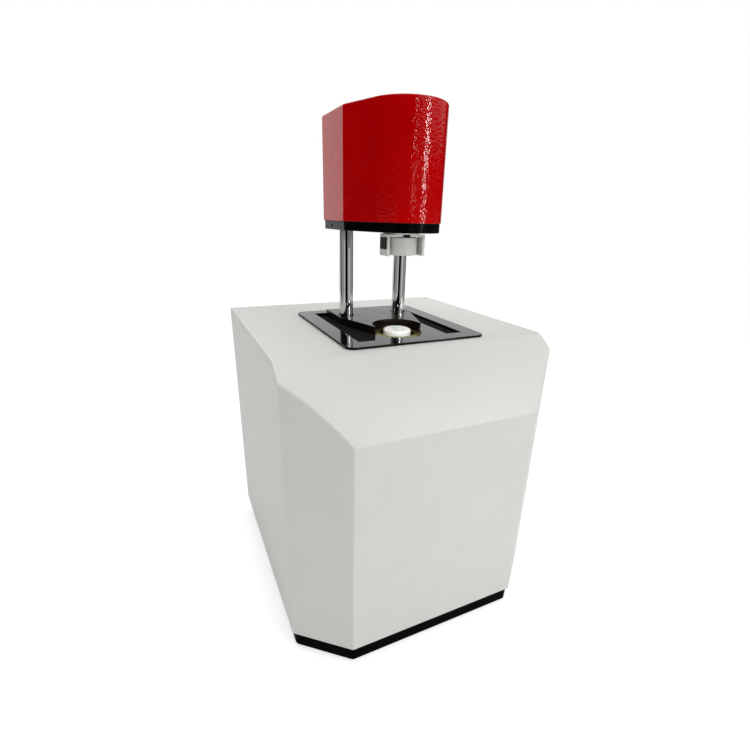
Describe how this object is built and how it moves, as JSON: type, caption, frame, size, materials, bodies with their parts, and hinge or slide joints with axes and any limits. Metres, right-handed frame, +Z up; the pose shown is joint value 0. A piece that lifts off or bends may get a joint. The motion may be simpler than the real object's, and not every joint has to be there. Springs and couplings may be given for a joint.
{
  "type": "rotational viscometer",
  "caption": "Benchtop paste viscometer: motor head on two chrome columns over a heated sample well in a white casing with sloping front.",
  "frame": {"origin": "centre of the whole part's box, on the bench plane under the rubber feet", "axes": "+X to the operator's right, -Y towards the operator, +Z up"},
  "size_m": [0.3, 0.334, 0.5293],
  "materials": {
    "casing_paint": "cream-white fine-texture powder coat",
    "base_black": "black satin",
    "rubber_black": "matte",
    "tray_gloss": "polished black",
    "column_chrome": "hard-chromed and ground",
    "head_red": "red hammered gloss paint",
    "head_black": "black anodised",
    "guard_white": "natural white plastic",
    "cap_white": "moulded white plastic",
    "button_black": "black",
    "block_brass": "machined",
    "machined_aluminium": "machined",
    "shaft_steel": "ground",
    "heater_steel": "plated sheet",
    "screw_steel": "zinc plated",
    "housing_black": "moulded",
    "motor_black": "black enamel",
    "board_green": "solder mask"
  },
  "bodies": {
    "root": {"base_tray": "base_black", "rubber_feet": "rubber_black", "side_panel_left": "casing_paint", "side_panel_right": "casing_paint", "front_cover": "casing_paint", "rear_panel": "casing_paint", "rear_screws": "screw_steel", "spill_tray": "tray_gloss", "tray_seal": "rubber_black", "deck_plate": "tray_gloss", "wiper_rings": "rubber_black", "top_plate": "machined_aluminium", "frame_posts": "shaft_steel", "lower_guide_plate": "machined_aluminium", "upper_bearings": "shaft_steel", "lower_bearings": "shaft_steel", "bottom_buffers": "rubber_black", "gas_spring_cylinder": "motor_black", "block_half_left": "block_brass", "block_half_right": "block_brass", "band_heaters": "heater_steel", "temperature_sensor": "heater_steel", "block_housing": "housing_black", "insulation_sleeve": "housing_black", "sample_can": "machined_aluminium", "fan_frame": "housing_black", "mains_inlet": "housing_black", "switch_frame": "housing_black", "data_port": "screw_steel", "coolant_stubs": "block_brass", "control_board": "board_green", "board_standoffs": "block_brass", "power_supply": "heater_steel"},
    "head": {"head_plate": "head_black", "head_gasket": "rubber_black", "head_cover": "head_red", "column_left": "column_chrome", "column_right": "column_chrome", "lift_yoke": "machined_aluminium", "top_buffers": "rubber_black", "gas_spring_rod": "column_chrome", "spindle_housing": "head_black", "spindle_bearings": "shaft_steel", "motor_mount": "machined_aluminium", "drive_motor": "motor_black", "coupling_guard": "guard_white", "clamp_screws": "screw_steel"},
    "spindle_unit": {"spindle": "shaft_steel", "coupling_cup": "guard_white", "shaft_coupler": "machined_aluminium", "motor_shaft": "shaft_steel", "encoder_disc": "housing_black"},
    "paddle_unit": {"paddle": "cap_white"},
    "button_unit": {"release_button": "button_black"},
    "rocker_unit": {"switch_rocker": "button_black"},
    "fan_unit": {"fan_impeller": "housing_black"}
  },
  "joints": [
    {"name": "head_slide", "type": "slide", "parent": "root", "child": "head", "axis": [0, 0, 1], "range_m": [-0.0805, 0], "stiffness_N_per_m": 100, "springref_m": 0.6},
    {"name": "spindle_spin", "type": "hinge", "parent": "head", "child": "spindle_unit", "pos_m": [0, -0.0453, 0.41], "axis": [0, 0, 1], "continuous": true},
    {"name": "paddle_spin", "type": "hinge", "parent": "root", "child": "paddle_unit", "pos_m": [0, -0.0453, 0.3], "axis": [0, 0, 1], "continuous": true},
    {"name": "button_press", "type": "slide", "parent": "head", "child": "button_unit", "axis": [1, 0, 0], "range_m": [0, 0.001], "stiffness_N_per_m": 800, "springref_m": -0.002},
    {"name": "switch_rock", "type": "hinge", "parent": "root", "child": "rocker_unit", "pos_m": [-0.042, 0.1422, 0.084], "axis": [0, 0, 1], "range_deg": [0, 24]},
    {"name": "fan_spin", "type": "hinge", "parent": "root", "child": "fan_unit", "pos_m": [0.078, 0.129, 0.192], "axis": [0, 1, 0], "continuous": true}
  ],
  "couplings": [
    {"joint": "paddle_spin", "follows": "spindle_spin", "ratio": 1}
  ]
}
